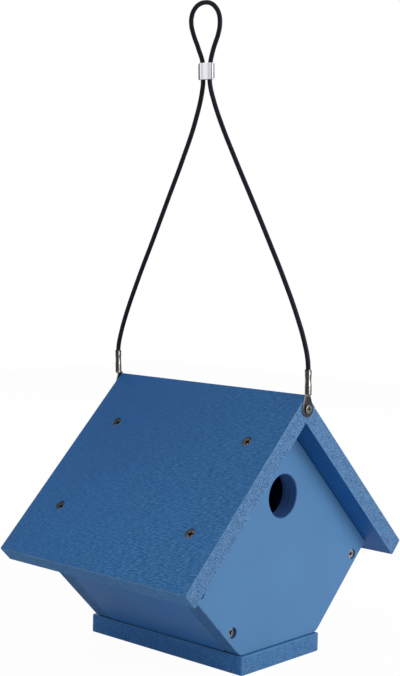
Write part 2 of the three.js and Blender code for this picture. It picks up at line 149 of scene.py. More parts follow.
# Cable lugs, with heights measured up from the lug screw. The back lug's barrel stands on the
# side of its plate, and the front lug's sits astride it.
LUG_PLATE_THICKNESS = 0.8
LUG_PLATE_EDGE = 0.2
LUG_PLATE_EDGE_STEPS = 2
LUG_RING_RADIUS = 5.25
LUG_HOLE_RADIUS = 2.05
LUG_NECK_HALF_WIDTH = 1.9
LUG_BARREL_START = 10.3
LUG_BARREL_RADIUS = 2.25
LUG_FRONT_BARREL_OUT = 0.8
LUG_BARREL_LENGTH = 15.3
LUG_BORE_RADIUS = 1.9
LUG_NECK_LENGTH = 3
LUG_BORE_DEPTH = 4
LUG_LIP_LENGTH = 0.6
LUG_LIP_REACH = 0.2
LUG_CRIMP_DEPTH = 0.18
LUG_CRIMP_LENGTH = 5.5
LUG_CRIMP_HEIGHT = 8.5
LUG_CRIMP_SHARPNESS = 4
LUG_SIDES = 48
LUG_NECK_RINGS = 13
LUG_BARREL_RINGS = 24

# The neck: how much squarer its flat end is than its round one, and the last share of it, in
# which its back bends away from the plate's
LUG_NECK_SQUARENESS = 6
LUG_NECK_BEND_SHARE = 1 / 3

# Painted highlights in lines along a lug's barrel: how many there are around it, where the
# first is, in degrees, and how narrow they are
LUG_HIGHLIGHT_LINES = ((4, 62, 0.55), (2, 124, 0.9))

# Angles in degrees up to which two faces are shaded as one
SMOOTH_ANGLE = 35
FERRULE_SMOOTH_ANGLE = 50
LUG_SMOOTH_ANGLE = 40

# Sizes in the boards' textures: the grain, which wanders, the roof's ripples, the clouds, the
# sawn flecks, the patches, the pits, and the streaks round the entrance
GRAIN_WIDTH = 0.8
GRAIN_LENGTH = 4
GRAIN_WAVE = 0.7
GRAIN_WAVE_SIZE = 5
RIPPLE_WIDTH = 0.42
RIPPLE_LENGTH = 3.6
RIPPLE_TURN = math.radians(14)
CLOUD_SIZE = 38
FLECK_SIZE = 0.45
FLECK_STRETCH = 2.2
PATCH_SIZE = 5
PIT_SIZE = 0.7
STREAK_WIDTH = 1.0
STREAK_LENGTH = 20

# How detailed each noise is, where it isn't plain
GRAIN_NOISE = {"detail": 2.5, "roughness": 0.55}
RIPPLE_NOISE = {"detail": 1.5}
FLECK_NOISE = {"detail": 2.0, "roughness": 0.6}
PIT_NOISE = {"detail": 1.0}
METAL_NOISE = {"detail": 3.0, "roughness": 0.6}
NOISE_MIDDLE = 0.5

# Bands of a noise, or of a face's direction, over which a texture goes from none to full
NOISE_BAND = (0.3, 0.7)
RIPPLE_BAND = (0.42, 0.62)
SPECKLE_BAND = (0.40, 0.60)
# The band of a patch noise over which the eased edges' painted highlight grows
EDGE_HIGHLIGHT_BAND = (0.25, 0.6)
ROLLED_BAND = (0.9, 0.97)
EASED_BAND = (0.985, 0.93)
CROSSCUT_BAND = (0.7, 0.9)
TOP_FACE_BAND = (0.0, 0.5)
# The band of downward facing over which the roof's painted shade comes in
UNDERSIDE_SHADE_BAND = (-0.5, 0.0)

# The roof wears towards the front and down the slope, from the ridge's height to the eave's
WEAR_FORWARD = 0.6
WEAR_DOWN = 0.5
RIDGE_HEIGHT = 179
EAVE_HEIGHT = 66

# Entrance: everything this near its axis is its wall, or one of the wall's flat faces
ENTRANCE_HEIGHT = 111.3
BORE_RADIUS = 15.2
STREAK_LEVELS = (0.85, 1.2)

# Strengths in the boards' textures. A bump is a depth in millimetres and a strength.
MOTTLE_SHARE = 0.88
# The eased edges' painted highlight is never weaker than this share of its strength
EDGE_HIGHLIGHT_LEAST = 0.35
SAWN_ROUGHNESS = 0.2
CLOUD_ROUGHNESS = 0.12
GRAIN_BUMP_DEPTH = 0.05
PIT_BUMP = (0.06, 0.3)
SAWN_BUMP = (0.5, 0.9)

# Screw steel: a fine grain, tarnish that is coarser, and painted shade in the recess
SCREW_GRAIN_SIZE = 0.3
TARNISH_COARSENESS = 6
TARNISH_BAND = (0.62, 0.78)
SCREW_ROUGHNESS_LEVELS = (0.75, 1.3)
SCREW_BUMP = (0.03, 0.35)
RECESS_SHADE_RADIUS = 2.2
RECESS_SHADE_EDGE = 0.2
RECESS_SHADE_DEPTHS = (0.15, 0.5)

# Lug nickel: a grain drawn along the barrel, spots of tarnish and a painted highlight on the
# sheared rim where it faces sideways
LUG_GRAIN_SIZE = 0.5
LUG_GRAIN_SCALE = (1.0, 1.0, 0.08)
LUG_GRAIN_BAND = (0.35, 0.65)
LUG_SPOT_SIZE = 1.6
LUG_SPOT_BAND = (0.55, 0.75)
LUG_SPOT_COVER = 0.5
LUG_RIM_HIGHLIGHT_BAND = (0.5, 0.9)
LUG_RIM_HIGHLIGHT = 0.55
LUG_ROUGHNESS = (0.16, 0.3)
LUG_BUMP = (0.005, 0.08)

# Ferrule aluminium: fine upright lines, and bands of painted shade that fade out between two
# shares of half the press's width. The painted shade at the end towards the back is full over
# the outer share of its width.
FERRULE_LINE_SIZE = 0.3
FERRULE_LINE_SCALE = (1.0, 1.0, 0.12)
FERRULE_LINE_BAND = (0.55, 0.8)
FERRULE_LINE_SHARE = 0.35
FERRULE_BAND_SHADE_FADE = (1.2, 0.6)
FERRULE_BACK_SHADE_SHARE = 0.8
FERRULE_ROUGHNESS = (0.22, 0.36)
FERRULE_BUMP = (0.01, 0.1)

# Cable coating
CABLE_WORN_SIZE = 3.5
CABLE_WORN_BAND = (0.45, 0.75)
CABLE_FINE_SIZE = 0.25
CABLE_ROUGHNESS = (0.36, 0.46)
CABLE_GLOSS = 0.12
CABLE_BUMP = (0.01, 0.2)

# Colours
ROOF_BLUE = (0.0125, 0.115, 0.352)
ROOF_SAWN_LIGHT = (0.150, 0.29, 0.49)
ROOF_SAWN_DARK = (0.016, 0.078, 0.215)
ROOF_END_LIGHT = (0.092, 0.255, 0.51)
ROOF_END_DARK = (0.015, 0.092, 0.27)
WALL_BLUE = (0.078, 0.200, 0.392)
WALL_SAWN_LIGHT = (0.064, 0.178, 0.37)
WALL_SAWN_DARK = (0.027, 0.102, 0.265)
SIDE_BLUE = (0.022, 0.134, 0.365)
BASE_SAWN_LIGHT = (0.118, 0.265, 0.47)
BASE_SAWN_DARK = (0.014, 0.095, 0.27)
BASE_SIDE_LIGHT = (0.092, 0.260, 0.54)
BASE_SIDE_DARK = (0.010, 0.095, 0.32)
# The colour of the painted highlight on the eased edges
EDGE_HIGHLIGHT_BLUE = (0.13, 0.27, 0.47)
SCUFF_BLUE = (0.070, 0.250, 0.49)
BORE_BLUE = (0.048, 0.125, 0.33)
WALL_SCREW_METAL = (0.42, 0.39, 0.35)
# Painted shade, near black, in the screws' cross recesses
RECESS_SHADE = (0.012, 0.011, 0.010)
WALL_SCREW_TARNISH = (0.14, 0.125, 0.11)
# The roof screws' colours: the wall screws' steel and tarnish, darkened by painted shade
ROOF_SCREW_SHADED_METAL = (0.150, 0.135, 0.105)
ROOF_SCREW_SHADED_TARNISH = (0.045, 0.04, 0.035)
LUG_METAL = (0.060, 0.058, 0.062)
LUG_METAL_DARK = (0.030, 0.029, 0.032)
# The colour of the painted highlights on the lugs' barrels and rims
LUG_PAINTED_HIGHLIGHT = (0.60, 0.575, 0.50)
LUG_METAL_TARNISH = (0.13, 0.115, 0.10)
LUG_SCREW_METAL = (0.20, 0.188, 0.168)
LUG_SCREW_TARNISH = (0.08, 0.075, 0.07)
FERRULE_METAL = (0.84, 0.84, 0.87)
# The grey of the painted shade in the pressed bands, also used for the fine lines, then the dark of the
# painted shade at the edges
FERRULE_LINE_AND_SHADE_GREY = (0.60, 0.60, 0.64)
FERRULE_EDGE_SHADE = (0.10, 0.10, 0.12)
CABLE_BLACK = (0.004, 0.0035, 0.011)
CABLE_WORN = (0.011, 0.010, 0.020)
WHITE = (1.0, 1.0, 1.0)
FLOOR_GREY = (0.9, 0.9, 0.9)

# Board looks. Flecks on a sawn edge are longer along the slope or along the house.
ALONG_SLOPE = (1 / FLECK_STRETCH, 1.0, 1.0)
ALONG_HOUSE = (1.0, 1 / FLECK_STRETCH, 1.0)
# In each look, edge is how strong the painted highlight on the eased edges may be.
ROOF_LOOK = {
    "grain": 0.08, "cloud": 0.04, "edge": 0.8, "drawn": ALONG_SLOPE,
    # The last entry sets how dark the painted shade makes the roof's downward faces.
    "scuff": 0.8, "lift": 0.05, "underside_shade": 0.89,
    "roughness": 0.55, "bump": 0.4, "gloss": 0.2, "sawn_gloss": 0.1,
    "end": (ROOF_END_LIGHT, ROOF_END_DARK),
}
WALL_LOOK = {
    "grain": 0.015, "cloud": 0.03, "edge": 0.9, "drawn": ALONG_SLOPE, "slanted": True,
    "roughness": 0.5, "bump": 0.12, "gloss": 0.15, "sawn_gloss": 0.05, "bore": True,
}
SIDE_LOOK = {
    "grain": 0.02, "cloud": 0.05, "edge": 0.5, "drawn": ALONG_HOUSE,
    "roughness": 0.5, "bump": 0.12, "gloss": 0.07, "sawn_gloss": 0.04,
}
BASE_LOOK = {
    "grain": 0.03, "cloud": 0.04, "edge": 0.4, "drawn": ALONG_HOUSE,
    "roughness": 0.6, "bump": 0.2, "gloss": 0.2, "sawn_gloss": 0.1,
    "end": (BASE_SIDE_LIGHT, BASE_SIDE_DARK),
}

# Screw finishes: cover is how far the tarnish spreads, and face the height of the head's face
SCREW_FINISHES = {
    "wall": {
        "bright": WALL_SCREW_METAL, "dark": WALL_SCREW_TARNISH,
        "roughness": 0.42, "cover": 0.08, "face": 0,
    },
    # The roof screws carry painted shade: the same steel as the wall screws, painted darker.
    "roof": {
        "bright": ROOF_SCREW_SHADED_METAL, "dark": ROOF_SCREW_SHADED_TARNISH,
        "roughness": 0.5, "cover": 0.12, "face": 0,
    },
    "lug": {
        "bright": LUG_SCREW_METAL, "dark": LUG_SCREW_TARNISH,
        "roughness": 0.3, "cover": 0.1, "face": LUG_HEAD_HEIGHT,
    },
}

# Light
AMBIENT_STRENGTH = 0.55
FLOOR_HALF_WIDTH = 1500
FLOOR_WHITE_SHARE = 0.97
LIGHTS = [
    {"name": "softbox", "at": (210, -1180, 520), "size": (700, 1000), "power": 9},
    {"name": "back_light", "at": (750, 1000, 650), "size": (700, 700), "power": 3},
]
LIGHT_AIM = (0, 0, 120)


# Node graphs

class Graph:
    """The node graph of one material or world, built by short calls."""

    def __init__(self, owner):
        owner.use_nodes = True
        self.tree = owner.node_tree
        self.tree.nodes.clear()

    def fill(self, socket, value):
        """Links an output to a socket, or sets the socket's own value."""
        if isinstance(value, bpy.types.NodeSocket):
            self.tree.links.new(value, socket)
        else:
            socket.default_value = value

    def add(self, kind, settings=None, **inputs):
        """Adds a node. Inputs are named with underscores, and hold a value or an output."""
        node = self.tree.nodes.new(kind)
        for key, value in (settings or {}).items():
            setattr(node, key, value)
        for key, value in inputs.items():
            self.fill(find_socket(node.inputs, key), value)
        return node

    def coordinates(self):
        """The piece's own coordinates and its face's direction, as outputs."""
        return self.add("ShaderNodeTexCoord").outputs

    def parts(self, vector):
        """The outputs X, Y and Z of a vector."""
        return self.add("ShaderNodeSeparateXYZ", None, Vector=vector).outputs

    def math(self, operation, *values):
        """The output of one calculation on numbers or outputs."""
        node = self.tree.nodes.new("ShaderNodeMath")
        node.operation = operation
        for socket, value in zip(node.inputs, values):
            self.fill(socket, value)
        return node.outputs[0]

    def distance(self, first, second):
        """How far a point is from an axis, from its two offsets."""
        squares = [self.math("POWER", offset, 2.0) for offset in (first, second)]
        return self.math("SQRT", self.math("ADD", *squares))

    def range(self, value, low, high, to_low=0.0, to_high=1.0):
        """The value mapped smoothly from one range to another."""
        node = self.add(
            "ShaderNodeMapRange",
            {"interpolation_type": "SMOOTHSTEP"},
            Value=value, From_Min=low, From_Max=high, To_Min=to_low, To_Max=to_high,
        )
        return node.outputs["Result"]

    def varied(self, noise, spread):
        """A level about 1 that a noise changes by up to the spread."""
        return self.range(noise, *NOISE_BAND, 1 - spread, 1 + spread)

    def mix(self, share, first, second):
        """A colour between two colours."""
        node = self.tree.nodes.new("ShaderNodeMix")
        node.data_type = "RGBA"
        for index, value in ((0, share), (6, first), (7, second)):
            colour = (*value, 1) if isinstance(value, tuple) else value
            self.fill(node.inputs[index], colour)
        return node.outputs[2]

    def shade(self, colour, level):
        """A colour made lighter or darker by a level."""
        node = self.add("ShaderNodeHueSaturation", None, Value=level, Color=(*colour, 1))
        return node.outputs["Color"]

    def stretched(self, place, scale):
        """Coordinates in which a texture is drawn out along the axes of a small scale."""
        return self.add("ShaderNodeMapping", None, Vector=place, Scale=scale).outputs["Vector"]

    def noise(self, place, size, detail=2.0, roughness=0.5):
        """Noise with features of about the given size in millimetres, from 0 to 1."""
        node = self.add(
            "ShaderNodeTexNoise", None,
            Vector=place, Scale=1 / (size * MM), Detail=detail, Roughness=roughness,
        )
        return node.outputs["Fac"]

    def bump(self, height, distance, strength, normal=None):
        """A normal bumped by a height, with its full depth in millimetres."""
        node = self.add("ShaderNodeBump", None, Height=height, Distance=distance * MM, Strength=strength)
        if normal is not None:
            self.tree.links.new(normal, node.inputs["Normal"])
        return node.outputs["Normal"]

    def finish(self, **inputs):
        """The surface shader and the output."""
        shader = self.add("ShaderNodeBsdfPrincipled", None, **inputs)
        self.add("ShaderNodeOutputMaterial", None, Surface=shader.outputs["BSDF"])


def find_socket(sockets, key):
    wanted = key.replace("_", " ").lower()
    return next(s for s in sockets if s.name.lower() == wanted and s.enabled)


def material_graph(name):
    material = bpy.data.materials.new(name)
    return material, Graph(material)


def set_material(piece, material):
    piece.data.materials.clear()
    piece.data.materials.append(material)


# Board materials

def board_frame(graph, tilt):
    """A board's own coordinates, how far its face looks along each of their axes, and its
    outward direction along the last one. The tilt about Y is undone in all of them."""
    source = graph.coordinates()
    turned = []
    for output in ("Object", "Normal"):
        turn = graph.add(
            "ShaderNodeVectorRotate", {"rotation_type": "Y_AXIS"},
            Vector=source[output], Angle=tilt,
        )
        turned.append(turn.outputs["Vector"])
    direction = graph.parts(turned[1])
    across = [graph.math("ABSOLUTE", direction[axis]) for axis in ("X", "Y", "Z")]
    return turned[0], across, direction["Z"]


def wavy(graph, place, width, length, turn=0.0):
    """The coordinates for a grain that runs along Y, or turned from it, and wanders."""
    push = graph.add(
        "ShaderNodeTexNoise", None, Vector=place, Scale=1 / (GRAIN_WAVE_SIZE * MM), Detail=1.0,
    )
    centred = graph.add("ShaderNodeVectorMath", {"operation": "SUBTRACT"})
    graph.fill(centred.inputs[0], push.outputs["Color"])
    graph.fill(centred.inputs[1], [NOISE_MIDDLE] * 3)
    scaled = graph.add("ShaderNodeVectorMath", {"operation": "SCALE"})
    graph.fill(scaled.inputs[0], centred.outputs["Vector"])
    graph.fill(scaled.inputs["Scale"], GRAIN_WAVE * MM)
    moved = graph.add("ShaderNodeVectorMath", {"operation": "ADD"})
    graph.fill(moved.inputs[0], place)
    graph.fill(moved.inputs[1], scaled.outputs["Vector"])
    mapping = graph.add(
        "ShaderNodeMapping", {"vector_type": "TEXTURE"},
        Vector=moved.outputs["Vector"], Rotation=(0, 0, turn), Scale=(1.0, length / width, 1.0),
    )
    return mapping.outputs["Vector"]


def scuff_share(graph, place, upward, most):
    """The share of fine pale ripples, faint near the ridge at the back and stronger at the low
    front, and how far down the slope a place lies."""
    along = graph.parts(place)["Y"]
    forward = graph.range(along, ROOF_HALF_LENGTH * MM, -ROOF_HALF_LENGTH * MM)
    height = graph.parts(graph.coordinates()["Object"])["Z"]
    down = graph.range(height, RIDGE_HEIGHT * MM, EAVE_HEIGHT * MM)
    by_front = graph.math("MULTIPLY", forward, WEAR_FORWARD)
    by_slope = graph.math("MULTIPLY", down, WEAR_DOWN)
    on_top = graph.range(upward, *TOP_FACE_BAND)
    worn = graph.math("MULTIPLY", graph.math("ADD", by_front, by_slope), on_top)
    rippled = wavy(graph, place, RIPPLE_WIDTH, RIPPLE_LENGTH, RIPPLE_TURN)
    ripples = graph.noise(rippled, RIPPLE_WIDTH, **RIPPLE_NOISE)
    amount = graph.math("MULTIPLY", graph.range(ripples, *RIPPLE_BAND), worn)
    return graph.math("MULTIPLY", amount, most), down


def bore_share(graph, place, rolled):
    """1 on the wall of the entrance, which the saw's face doesn't reach."""
    spot = graph.parts(place)
    rise = graph.math("SUBTRACT", spot["Z"], ENTRANCE_HEIGHT * MM)
    near = graph.math("LESS_THAN", graph.distance(spot["X"], rise), BORE_RADIUS * MM)
    return graph.math("MULTIPLY", near, graph.math("SUBTRACT", 1.0, rolled))


def bore_colour(graph, place, rolled, colour):
    """The wall's colour, but in the entrance that of its own wall, with streaks round it."""
    squeeze = STREAK_WIDTH / STREAK_LENGTH
    streaks = graph.noise(graph.stretched(place, (squeeze, 1.0, squeeze)), STREAK_WIDTH)
    lined = graph.shade(BORE_BLUE, graph.range(streaks, *NOISE_BAND, *STREAK_LEVELS))
    return graph.mix(bore_share(graph, place, rolled), colour, lined)


def face_shares(graph, across, face_axis, slanted):
    """How much of a rolled face, and how much of an eased edge, a place is."""
    rolled = graph.range(across[face_axis], *ROLLED_BAND)
    flattest = graph.math("MAXIMUM", across[0], graph.math("MAXIMUM", across[1], across[2]))
    if slanted:
        slant = graph.math("MULTIPLY", graph.math("ADD", across[0], across[2]), DIAGONAL)
        flattest = graph.math("MAXIMUM", flattest, slant)
    return rolled, graph.range(flattest, *EASED_BAND)


def face_colour(graph, place, upward, face, level, look):
    """A rolled face. The roof's is worn and lighter down the slope, and has painted shade that
    darkens it underneath.
    """
    if "scuff" not in look:
        return graph.shade(face, level)
    ripples, down = scuff_share(graph, place, upward, look["scuff"])
    lifted = graph.range(down, 0.0, 1.0, 1 - look["lift"], 1 + look["lift"])
    # Painted shade: faces of the roof that look downwards are darkened.
    underside_shade = graph.range(upward, *UNDERSIDE_SHADE_BAND, look["underside_shade"], 1.0)
    level = graph.math("MULTIPLY", graph.math("MULTIPLY", level, lifted), underside_shade)
    return graph.mix(ripples, graph.shade(face, level), SCUFF_BLUE)


def sawn_colour(graph, across, mottle, patch, light, dark, look):
    """A sawn edge's flecks, with colours of their own on the edges square to the board's X."""
    fine = graph.math("MULTIPLY", mottle, MOTTLE_SHARE)
    coarse = graph.math("MULTIPLY", patch, 1 - MOTTLE_SHARE)
    speckled = graph.range(graph.math("ADD", fine, coarse), *SPECKLE_BAND)
    sawn = graph.mix(speckled, dark, light)
    if "end" not in look:
        return sawn
    end_light, end_dark = look["end"]
    crosscut = graph.mix(speckled, end_dark, end_light)
    return graph.mix(graph.range(across[0], *CROSSCUT_BAND), sawn, crosscut)


def board_roughness(graph, depth, cloud, look):
    """Rougher in the sawn edges' texture, and drifting with the clouds."""
    sawn = graph.math("MULTIPLY", depth, SAWN_ROUGHNESS)
    drift = graph.math("MULTIPLY", graph.math("SUBTRACT", cloud, NOISE_MIDDLE), CLOUD_ROUGHNESS)
    return graph.math("ADD", graph.math("ADD", look["roughness"], sawn), drift)


def board_material(name, tilt, face_axis, face, sawn_light, sawn_dark, look):
    """A plastic board: rolled faces square to face_axis, and sawn edges on the other sides."""
    material, graph = material_graph(name)
    place, across, upward = board_frame(graph, tilt)
    grain = graph.noise(wavy(graph, place, GRAIN_WIDTH, GRAIN_LENGTH), GRAIN_WIDTH, **GRAIN_NOISE)
    cloud = graph.noise(place, CLOUD_SIZE)
    mottle = graph.noise(graph.stretched(place, look["drawn"]), FLECK_SIZE, **FLECK_NOISE)
    patch = graph.noise(place, PATCH_SIZE)
    pits = graph.noise(place, PIT_SIZE, **PIT_NOISE)
    rolled, eased = face_shares(graph, across, face_axis, "slanted" in look)

    drift = graph.varied(cloud, look["cloud"])
    level = graph.math("MULTIPLY", graph.varied(grain, look["grain"]), drift)
    tone = face_colour(graph, place, upward, face, level, look)
    sawn = sawn_colour(graph, across, mottle, patch, sawn_light, sawn_dark, look)
    colour = graph.mix(rolled, sawn, tone)
    # Painted highlight: the eased edges are lightened, more in some patches than others.
    edge_highlight = graph.range(patch, *EDGE_HIGHLIGHT_BAND, EDGE_HIGHLIGHT_LEAST, look["edge"])
    colour = graph.mix(graph.math("MULTIPLY", eased, edge_highlight), colour, EDGE_HIGHLIGHT_BLUE)
    if "bore" in look:
        colour = bore_colour(graph, place, rolled, colour)

    depth = graph.math("MULTIPLY", graph.math("SUBTRACT", 1.0, rolled), mottle)
    rough = board_roughness(graph, depth, cloud, look)
    fine = graph.bump(grain, GRAIN_BUMP_DEPTH, look["bump"])
    pitted = graph.bump(pits, *PIT_BUMP, fine)
    normal = graph.bump(depth, *SAWN_BUMP, pitted)
    gloss = graph.range(rolled, 0.0, 1.0, look["sawn_gloss"], look["gloss"])
    graph.finish(Base_Color=colour, Roughness=rough, Normal=normal, Specular_IOR_Level=gloss)
    return material


def dress_boards():
    roof = (ROOF_BLUE, ROOF_SAWN_LIGHT, ROOF_SAWN_DARK, ROOF_LOOK)
    wall = (WALL_BLUE, WALL_SAWN_LIGHT, WALL_SAWN_DARK, WALL_LOOK)
    side = (SIDE_BLUE, WALL_SAWN_LIGHT, WALL_SAWN_DARK, SIDE_LOOK)
    base = (SIDE_BLUE, BASE_SAWN_LIGHT, BASE_SAWN_DARK, BASE_LOOK)
    boards = {
        "roof_board_left": (SLOPE, 2, roof),
        "roof_board_right": (-SLOPE, 2, roof),
        "front_wall": (0.0, 1, wall),
        "back_wall": (0.0, 1, wall),
        "side_wall_left": (-SLOPE, 2, side),
        "clean_out_door": (SLOPE, 2, side),
        "floor_board": (0.0, 2, base),
    }
    for node, (tilt, face_axis, colours) in boards.items():
        material = board_material(node + "_plastic", tilt, face_axis, *colours)
        set_material(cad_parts[node], material)


# Metal and cable materials

def screw_material(name, bright, dark, roughness, cover, face):
    """Plated steel with a fine grain, dark tarnish over a share of it, and painted shade in its
    recess, below the face of the head."""
    material, graph = material_graph(name)
    place = graph.coordinates()["Object"]
    grain = graph.noise(place, SCREW_GRAIN_SIZE, **METAL_NOISE)
    tarnish = graph.noise(place, SCREW_GRAIN_SIZE * TARNISH_COARSENESS, **METAL_NOISE)
    tarnished = graph.range(tarnish, *[limit - cover for limit in TARNISH_BAND])
    spot = graph.parts(place)
    edge = RECESS_SHADE_RADIUS - RECESS_SHADE_EDGE
    away = graph.distance(spot["X"], spot["Y"])
    inside = graph.range(away, RECESS_SHADE_RADIUS * MM, edge * MM)
    below = graph.range(spot["Z"], *[(face - depth) * MM for depth in RECESS_SHADE_DEPTHS])
    # Painted shade: the recess below the head's face is darkened to near black.
    recess_shade = graph.math("MULTIPLY", inside, below)
    colour = graph.mix(recess_shade, graph.mix(tarnished, bright, dark), RECESS_SHADE)
    levels = [roughness * level for level in SCREW_ROUGHNESS_LEVELS]
    rough = graph.range(grain, *NOISE_BAND, *levels)
    normal = graph.bump(grain, *SCREW_BUMP)
    graph.finish(Base_Color=colour, Metallic=1.0, Roughness=rough, Normal=normal)
    return material


def lug_highlight_lines(graph, spot, out):
    """Narrow lines of painted highlight along a lug's barrel, whose axis stands out from the
    plate's back.
    """
    forward = graph.math("ADD", spot["Y"], out * MM)
    angle = graph.math("ARCTAN2", forward, spot["X"])
    shares = []
    for times, turn, sharpness in LUG_HIGHLIGHT_LINES:
        phase = graph.math("MULTIPLY", graph.math("SUBTRACT", angle, math.radians(turn)), times)
        shares.append(graph.range(graph.math("COSINE", phase), sharpness, 1.0))
    return graph.math("MAXIMUM", *shares)


def lug_material(name, out):
    """Dark nickel, with painted highlights in a few lines along the barrel and on the plate's
    sheared rim where it faces sideways.
    """
    material, graph = material_graph(name)
    source = graph.coordinates()
    place = source["Object"]
    spot = graph.parts(place)
    sideways = graph.math("ABSOLUTE", graph.parts(source["Normal"])["X"])
    foot = LUG_BARREL_START - LUG_NECK_LENGTH / 2
    barrel = graph.range(spot["Z"], foot * MM, LUG_BARREL_START * MM)
    plate = graph.math("SUBTRACT", 1.0, barrel)
    # Painted highlight: bright lines round the barrel, and the plate's rim where it faces sideways.
    lines = graph.math("MULTIPLY", lug_highlight_lines(graph, spot, out), barrel)
    rim_highlight = graph.range(sideways, *LUG_RIM_HIGHLIGHT_BAND, 0.0, LUG_RIM_HIGHLIGHT)
    bright = graph.math("MAXIMUM", lines, graph.math("MULTIPLY", rim_highlight, plate))
    grain = graph.noise(graph.stretched(place, LUG_GRAIN_SCALE), LUG_GRAIN_SIZE)
    spots = graph.noise(place, LUG_SPOT_SIZE, **METAL_NOISE)
    tarnished = graph.range(spots, *LUG_SPOT_BAND, 0.0, LUG_SPOT_COVER)
    colour = graph.mix(graph.range(grain, *LUG_GRAIN_BAND), LUG_METAL, LUG_METAL_DARK)
    colour = graph.mix(tarnished, colour, LUG_METAL_TARNISH)
    colour = graph.mix(bright, colour, LUG_PAINTED_HIGHLIGHT)
    rough = graph.range(spots, *NOISE_BAND, *LUG_ROUGHNESS)
    normal = graph.bump(grain, *LUG_BUMP)
    graph.finish(Base_Color=colour, Metallic=1.0, Roughness=rough, Normal=normal)
    return material


def ferrule_band_shade(graph, spot):
    """1 in the bands of painted shade over the pressed bands, which lie half a turn apart on the
    two broad sides.
    """
    turned = graph.math("MULTIPLY", spot["Y"], graph.math("SIGN", spot["X"]))
    fade = [FERRULE_PRESS_WIDTH / 2 * MM * share for share in FERRULE_BAND_SHADE_FADE]
    band_shades = []
    for place in FERRULE_PRESS_PLACES:
        away = graph.math("ABSOLUTE", graph.math("ADD", turned, place * MM))
        band_shades.append(graph.range(away, *fade))
    return graph.math("MAXIMUM", *band_shades)


def ferrule_edge_shade(graph, spot):
    """1 where painted shade darkens the edges: along a line near each edge, on each edge's tip and
    at the end towards the back.
    """
    edge = FERRULE_WIDTH / 2
    offset = graph.math("ABSOLUTE", spot["Y"])
    past_shade_line = graph.math("SUBTRACT", offset, (edge - FERRULE_SHADE_LINE_PLACE) * MM)
    from_shade_line = graph.math("ABSOLUTE", past_shade_line)
    shade_line = graph.range(from_shade_line, FERRULE_SHADE_LINE_WIDTH * MM, FERRULE_SHADE_LINE_WIDTH / 2 * MM)
    full_back_shade = FERRULE_BACK_SHADE_WIDTH * FERRULE_BACK_SHADE_SHARE
    back_shade = graph.range(spot["Y"], (edge - FERRULE_BACK_SHADE_WIDTH) * MM, (edge - full_back_shade) * MM)
    # tip is the painted shade on the outermost strip of each edge
    tip = graph.range(offset, (edge - FERRULE_TIP_SHADE) * MM, edge * MM)
    return graph.math("MAXIMUM", shade_line, graph.math("MAXIMUM", back_shade, tip))


def ferrule_material():
    """Bright aluminium, with painted shade over the pressed bands, along a line near each edge,
    on the edges' tips and at the end towards the back.
    """
    material, graph = material_graph("ferrule_aluminium")
    place = graph.coordinates()["Object"]
    spot = graph.parts(place)
    band_shade = ferrule_band_shade(graph, spot)
    edge_shade = ferrule_edge_shade(graph, spot)
    lines = graph.noise(graph.stretched(place, FERRULE_LINE_SCALE), FERRULE_LINE_SIZE)
    lined = graph.range(lines, *FERRULE_LINE_BAND, 0.0, FERRULE_LINE_SHARE)
    # Painted shade in the pressed bands; the fine lines take the same grey.
    colour = graph.mix(band_shade, FERRULE_METAL, FERRULE_LINE_AND_SHADE_GREY)
    colour = graph.mix(lined, colour, FERRULE_LINE_AND_SHADE_GREY)
    # Painted shade along the edges, which are also made neither metal nor glossy there.
    colour = graph.mix(edge_shade, colour, FERRULE_EDGE_SHADE)
    brushed = graph.range(lines, *NOISE_BAND, *FERRULE_ROUGHNESS)
    rough = graph.math("MAXIMUM", brushed, edge_shade)
    outside_edge_shade = graph.math("SUBTRACT", 1.0, edge_shade)
    normal = graph.bump(lines, *FERRULE_BUMP)
    graph.finish(Base_Color=colour, Metallic=outside_edge_shade, Roughness=rough, Normal=normal)
    return material


def cable_material():
    """Black vinyl with a soft sheen, a little paler where it is worn."""
    material, graph = material_graph("cable_coating")
    place = graph.coordinates()["Object"]
    worn = graph.noise(place, CABLE_WORN_SIZE)
    fine = graph.noise(place, CABLE_FINE_SIZE)
    colour = graph.mix(graph.range(worn, *CABLE_WORN_BAND), CABLE_BLACK, CABLE_WORN)
    rough = graph.range(worn, *NOISE_BAND, *CABLE_ROUGHNESS)
    normal = graph.bump(fine, *CABLE_BUMP)
    graph.finish(Base_Color=colour, Roughness=rough, Normal=normal, Specular_IOR_Level=CABLE_GLOSS)
    return material


# Mesh pieces

def new_piece(name, mesh, body, replaced):
    """A piece that rides on a body and stands for a CAD node."""
    piece = bpy.data.objects.new(name, mesh)
    bpy.context.scene.collection.objects.link(piece)
    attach(piece, body)
    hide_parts(replaced)
    return piece


def mesh_from(name, build, smooth_angle=SMOOTH_ANGLE):
    """A mesh made by one function that fills a bmesh, shaded smooth but for its sharp edges."""
    mesh = bpy.data.meshes.new(name)
    work = bmesh.new()
    build(work)
    bmesh.ops.recalc_face_normals(work, faces=work.faces)
    for face in work.faces:
        face.smooth = True
    for edge in work.edges:
        if len(edge.link_faces) == 2:
            edge.smooth = edge.calc_face_angle() < math.radians(smooth_angle)
    work.to_mesh(mesh)
    work.free()
    return mesh


def add_ring(work, points):
    return [work.verts.new(Vector(p) * MM) for p in points]


def bridge(work, first, second):
    """Faces between two closed rings of as many points."""
    for i in range(len(first)):
        j = (i + 1) % len(first)
        work.faces.new((first[i], first[j], second[j], second[i]))


def circle_points(radius, z, sides, centre=(0, 0)):
    turn = 2 * math.pi / sides
    return [
        (centre[0] + radius * math.cos(i * turn), centre[1] + radius * math.sin(i * turn), z)
        for i in range(sides)
    ]


def close_ring(work, ring, z):
    """A fan from a ring to a point on the axis."""
    tip = work.verts.new(Vector((0, 0, z)) * MM)
    for i in range(len(ring)):
        work.faces.new((ring[i], ring[(i + 1) % len(ring)], tip))


# Screws

